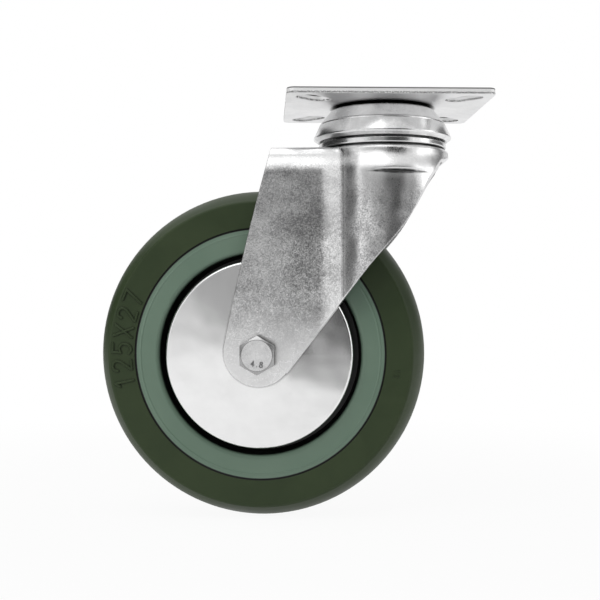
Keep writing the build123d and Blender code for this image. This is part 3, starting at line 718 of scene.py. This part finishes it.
def threadSurface(look):
    # radius = root + depth * triangle wave of (distance / pitch - turn), faded in and out
    rows = int(look["length"] / look["pitch"] * look["rowsPerTurn"]) + 1
    distance = np.linspace(0, look["length"], rows)
    theta = np.linspace(0, 2 * np.pi, look["around"], endpoint=False)
    phase = distance[:, None] / look["pitch"] - theta[None, :] / (2 * np.pi)
    wave = 1 - np.abs(2 * (phase - np.floor(phase)) - 1)
    ends = np.minimum(np.minimum(distance, look["length"] - distance) / look["fade"], 1)
    radius = look["root"] + look["depth"] * wave * ends[:, None]
    radius[[0, -1]] -= look["tuck"]
    spoke = np.cos(theta)[None, :, None] * forkX + np.sin(theta)[None, :, None] * upZ
    points = (axlePoint + radius[:, :, None] * mm * spoke
              + (look["start"] + distance)[:, None, None] * mm * forkY)
    return points.reshape(-1, 3), gridFaces(rows, look["around"])


threadLook = dict(start=30.15, length=1.65, pitch=0.62, rowsPerTurn=12, around=64, root=3.98,
                  depth=0.22, fade=0.25, tuck=0.3)
threadPoints, threadFaces = threadSurface(threadLook)
putMesh("bolt_thread", threadPoints, threadFaces, finishes["fastenerZinc"]["mat"], "fork")
print("bolt thread done")


def turnedRing(profile, around):
    # each profile point (distance along the axle, radius) is carried once round the axle
    theta = np.linspace(0, 2 * np.pi, around, endpoint=False)
    spoke = np.cos(theta)[None, :, None] * forkX + np.sin(theta)[None, :, None] * upZ
    line = np.array(profile) * mm
    points = axlePoint + line[:, 1][:, None, None] * spoke + line[:, 0][:, None, None] * forkY
    return points.reshape(-1, 3), gridFaces(len(line), around)


insertLook = dict(cloudSize=4, grainSize=0.3, dark=(0.52, 0.55, 0.58), bright=(0.62, 0.65, 0.67),
                  roughLow=0.35, roughHigh=0.45, specular=0.4, bumpDepth=0.01, around=64,
                  profile=((30.1, 5.2), (30.3, 5.1), (30.38, 4.9), (30.38, 4.3), (30.3, 4.1),
                           (30.1, 4.0)))
insertNylon = mouldedMaterial("insertNylon", insertLook)
ringPoints, ringFaces = turnedRing(insertLook["profile"], insertLook["around"])
putMesh("nut_insert", ringPoints, ringFaces, insertNylon["mat"], "fork")
print("nut insert done")


def lamp(name, look):
    # soft rectangular lamp that faces the castor's middle
    light = bpy.data.lights.new(name, "AREA")
    light.shape = "RECTANGLE"
    light.size = look["wide"]
    light.size_y = look["high"]
    light.energy = look["watts"]
    obj = bpy.data.objects.new(name, light)
    bpy.context.scene.collection.objects.link(obj)
    obj.location = look["place"]
    aim = Vector(castorMiddle) - Vector(look["place"])
    obj.rotation_euler = aim.to_track_quat("-Z", "Y").to_euler()
    obj.visible_glossy = look["mirrored"]


castorMiddle = (-0.02, 0, -0.08)
lamps = {
    "lampLeft": dict(place=(-0.95, -0.62, 0.05), wide=0.5, high=0.9, watts=5.0, mirrored=False),
    "lampTop": dict(place=(-0.25, -0.35, 0.95), wide=0.9, high=0.9, watts=3.0, mirrored=True),
    "lampRight": dict(place=(0.95, -0.10, 0.15), wide=0.5, high=0.8, watts=1.5, mirrored=True),
}
for name, look in lamps.items():
    lamp(name, look)


def shadeCard(name, look):
    # flat card for the metal to mirror: turned about Z, then tilted about its own level axis
    turn, tilt = math.radians(look["turn"]), math.radians(look["tilt"])
    c, s = math.cos(turn), math.sin(turn)
    across = look["wide"] / 2 * np.array((c, s, 0.0))
    up = np.array((-s * math.sin(tilt), c * math.sin(tilt), math.cos(tilt)))
    rise = look["high"] / 2 * up
    centre = np.array(look["centre"])
    corners = (centre - across - rise, centre + across - rise,
               centre + across + rise, centre - across + rise)
    mesh = bpy.data.meshes.new(name)
    mesh.from_pydata([tuple(corner) for corner in corners], [], [(0, 1, 2, 3)])
    mat, tree, glow = newTree(name + "Paint", "ShaderNodeEmission")
    glow.inputs["Color"].default_value = grey(look["level"])
    mesh.materials.append(mat)
    card = bpy.data.objects.new(name, mesh)
    bpy.context.scene.collection.objects.link(card)
    card.visible_camera = False
    card.visible_diffuse = False
    card.visible_shadow = False


floorHeight = cadBox[0][2] - 0.05 * mm  # just under the wheel
cards = {
    "cardLeft": dict(centre=(-0.90, 0.4875, 0.17), turn=90, tilt=0, wide=1.665, high=0.96,
                     level=0.03),
    "cardSoft": dict(centre=(-0.84, -0.86, 0.2), turn=-45, tilt=0, wide=0.62, high=1.8,
                     level=0.95),
    "cardFront": dict(centre=(-0.15, -1.20, 0.34), turn=0, tilt=0, wide=1.2, high=0.74,
                      level=0.34),
    "cardSill": dict(centre=(-0.15, -1.20, -0.07), turn=0, tilt=0, wide=1.2, high=0.08,
                     level=0.50),
    "cardMiddle": dict(centre=(0.215, -1.15, 0.30), turn=0, tilt=0, wide=0.45, high=0.92,
                       level=0.04),
    "cardFloor": dict(centre=(0.13, -0.75, floorHeight + mm), turn=0, tilt=90, wide=0.36,
                      high=0.9, level=0.35),
    "cardRight": dict(centre=(0.60, -0.98, 0.30), turn=33, tilt=0, wide=0.45, high=1.1,
                      level=0.02),
    "cardFar": dict(centre=(0.95, 0.45, 0.75), turn=90, tilt=0, wide=1.1, high=1.7, level=0.15),
}
for name, look in cards.items():
    shadeCard(name, look)


def seenRay(tree):
    # 1 for rays from the camera, in a reflection or through glass
    rays = tree.nodes.new("ShaderNodeLightPath")
    both = mathNode(tree, "ADD", rays.outputs["Is Camera Ray"], rays.outputs["Is Glossy Ray"],
                    clamp=True)
    return mathNode(tree, "ADD", both, rays.outputs["Is Transmission Ray"], clamp=True)


skyLook = dict(plain=0.6, seen=1.0)  # strength as light, and as the white background
world = bpy.data.worlds.new("studio")
bpy.context.scene.world = world
world.use_nodes = True
sky = world.node_tree
sky.nodes.clear()
skyOut = sky.nodes.new("ShaderNodeOutputWorld")
skyMix = sky.nodes.new("ShaderNodeMixShader")
skyPlain = sky.nodes.new("ShaderNodeBackground")
skyPlain.inputs["Strength"].default_value = skyLook["plain"]
skyWhite = sky.nodes.new("ShaderNodeBackground")
skyWhite.inputs["Color"].default_value = grey(1.0)
skyWhite.inputs["Strength"].default_value = skyLook["seen"]
sky.links.new(seenRay(sky), skyMix.inputs[0])
sky.links.new(skyPlain.outputs[0], skyMix.inputs[1])
sky.links.new(skyWhite.outputs[0], skyMix.inputs[2])
sky.links.new(skyMix.outputs[0], skyOut.inputs[0])


def fadeOut(tree, look):
    # from the near share to the far share with the distance from the object's foot
    point = vectorMath(tree, "SUBTRACT", objectPoint(tree), (look["footX"], 0, 0))
    length = tree.nodes.new("ShaderNodeVectorMath")
    length.operation = "LENGTH"
    tree.links.new(point, length.inputs[0])
    return ramp(tree, length.outputs["Value"], look["nearBy"], look["farOff"], look["nearShare"],
                1.0, smooth=True)


floorLook = dict(half=6.0, level=0.85, roughness=0.9, footX=-0.05, nearBy=0.18, farOff=0.42,
                 nearShare=0.93)
half = floorLook["half"]
floorCorners = [(-half, -half, floorHeight), (half, -half, floorHeight),
                (half, half, floorHeight), (-half, half, floorHeight)]
floorMesh = bpy.data.meshes.new("floor")
floorMesh.from_pydata(floorCorners, [], [(0, 1, 2, 3)])
floor = bpy.data.objects.new("floor", floorMesh)
bpy.context.scene.collection.objects.link(floor)
floorMat, floorTree, floorShader = newTree("floorPaint")
floorShader.inputs["Base Color"].default_value = grey(floorLook["level"])
floorShader.inputs["Roughness"].default_value = floorLook["roughness"]
floorGlow = floorTree.nodes.new("ShaderNodeEmission")
floorMix = floorTree.nodes.new("ShaderNodeMixShader")
floorSeen = mathNode(floorTree, "MULTIPLY", seenRay(floorTree), fadeOut(floorTree, floorLook))
floorTree.links.new(floorSeen, floorMix.inputs[0])
floorTree.links.new(floorShader.outputs[0], floorMix.inputs[1])
floorTree.links.new(floorGlow.outputs[0], floorMix.inputs[2])
floorOut = floorTree.nodes["Material Output"]
floorTree.links.new(floorMix.outputs[0], floorOut.inputs["Surface"])
floorMesh.materials.append(floorMat)

cameraLook = dict(place=(-0.0464, -0.4217, -0.0774), yaw=-1.88, lens=64.02, sensor=36,
                  shiftY=-0.0027, clipStart=0.01)
camera = bpy.data.objects.new("camera", bpy.data.cameras.new("camera"))
bpy.context.scene.collection.objects.link(camera)
camera.location = cameraLook["place"]
camera.rotation_euler = (math.pi / 2, 0, math.radians(cameraLook["yaw"]))
camera.data.lens = cameraLook["lens"]
camera.data.sensor_width = cameraLook["sensor"]
camera.data.shift_y = cameraLook["shiftY"]
camera.data.clip_start = cameraLook["clipStart"]
bpy.context.scene.camera = camera
bpy.context.scene.view_settings.view_transform = "Standard"
print("studio done")
